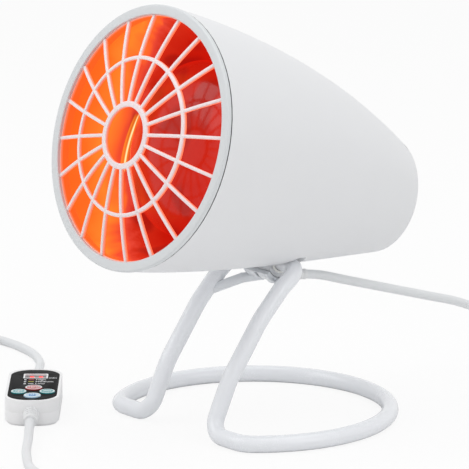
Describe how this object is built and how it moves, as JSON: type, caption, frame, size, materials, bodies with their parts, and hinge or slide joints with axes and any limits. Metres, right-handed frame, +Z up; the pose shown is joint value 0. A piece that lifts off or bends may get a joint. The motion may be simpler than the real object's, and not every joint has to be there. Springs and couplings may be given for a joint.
{
  "type": "infrared heat therapy lamp",
  "caption": "Infrared heat lamp: a tapered reflector head with a domed grille tilts on a bent tube stand, with an inline timer controller and a plug on its cord.",
  "frame": {"origin": "on the surface that the lamp stands on, under the middle of the lamp's box without its cord", "axes": "+Z up, the lamp faces -Y, +X to its left as it looks at the viewer"},
  "size_m": [0.6003, 0.4643, 0.3059],
  "materials": {
    "housing": "pale grey moulded plastic, satin, fine grain",
    "bezel": "light grey moulded plastic, satin",
    "grille": "white moulded plastic bars",
    "reflector": "bright reflector sheet, lit orange by the bulb",
    "bulb_glass": "red glass envelope, lit",
    "stem_glass": "clear glass stem with support wires",
    "filament": "coiled wire, glowing",
    "bulb_cap": "rolled screw cap",
    "ceramic": "glazed white ceramic",
    "brass": "threaded sleeve",
    "bracket_metal": "pressed bracket plate",
    "screws": "zinc plated screws",
    "terminal_block": "ivory terminal block",
    "wires": "sheathed inner lead",
    "pivot_cap": "light grey moulded plastic",
    "bushes": "slick white bush plastic",
    "stop_screw": "dark stop screw",
    "stand_tube": "silver grey powder coat on bent steel tube",
    "end_plugs": "push-in plastic plugs",
    "cross_brace": "silver grey painted casting",
    "relief": "soft pale strain relief",
    "cord": "smooth pale grey cord sheath",
    "controller_shell": "white moulded shell",
    "face_plate": "black face plate",
    "display_frame": "white display frame",
    "display_module": "dark red display window",
    "digits": "lit red figures",
    "leds": "lit indicator bars",
    "circuit_board": "green circuit board",
    "switches": "small black switches",
    "button_red": "red button cap",
    "button_teal": "teal button cap",
    "button_blue": "light blue button cap",
    "plug_body": "moulded pale plug",
    "plug_pins": "nickel plated pins"
  },
  "bodies": {
    "root": {"stand_tube": "stand_tube", "tube_end_plugs": "end_plugs", "cross_brace": "cross_brace", "strain_relief": "relief", "inner_lead": "wires", "lead_cord": "cord", "controller_base": "controller_shell", "controller_top": "controller_shell", "face_plate": "face_plate", "display_frame": "display_frame", "display_module": "display_module", "display_digits": "digits", "indicator_leds": "leds", "circuit_board": "circuit_board", "tact_switches": "switches", "controller_screws": "screws", "controller_reliefs": "relief", "tail_cord": "cord", "cord_coil": "cord", "plug_body": "plug_body", "plug_pins": "plug_pins"},
    "head": {"housing": "housing", "bezel_ring": "bezel", "grille": "grille", "reflector": "reflector", "bulb_glass": "bulb_glass", "bulb_stem": "stem_glass", "bulb_filament": "filament", "bulb_cap": "bulb_cap", "lampholder": "ceramic", "holder_thread": "brass", "holder_contact": "brass", "holder_bracket": "bracket_metal", "holder_screws": "screws", "bracket_screws": "screws", "terminal_block": "terminal_block", "head_wires": "wires", "pivot_cap": "pivot_cap", "pivot_cap_screws": "screws", "pivot_bushes": "bushes", "stop_screw": "stop_screw"},
    "button_temp": {"button_temp": "button_red"},
    "button_plus": {"button_plus": "button_teal"},
    "button_minus": {"button_minus": "button_teal"},
    "button_power": {"button_power": "button_blue"}
  },
  "joints": [
    {"name": "head_tilt", "type": "hinge", "parent": "root", "child": "head", "pos_m": [0, 0.01462, 0.113], "axis": [1, 0, 0], "range_deg": [-10, 20]},
    {"name": "button_temp_press", "type": "slide", "parent": "root", "child": "button_temp", "axis": [0, 0, 1], "range_m": [-0.0006, 0], "stiffness_N_per_m": 400},
    {"name": "button_plus_press", "type": "slide", "parent": "root", "child": "button_plus", "axis": [0, 0, 1], "range_m": [-0.0006, 0], "stiffness_N_per_m": 400},
    {"name": "button_minus_press", "type": "slide", "parent": "root", "child": "button_minus", "axis": [0, 0, 1], "range_m": [-0.0006, 0], "stiffness_N_per_m": 400},
    {"name": "button_power_press", "type": "slide", "parent": "root", "child": "button_power", "axis": [0, 0, 1], "range_m": [-0.0006, 0], "stiffness_N_per_m": 400}
  ]
}
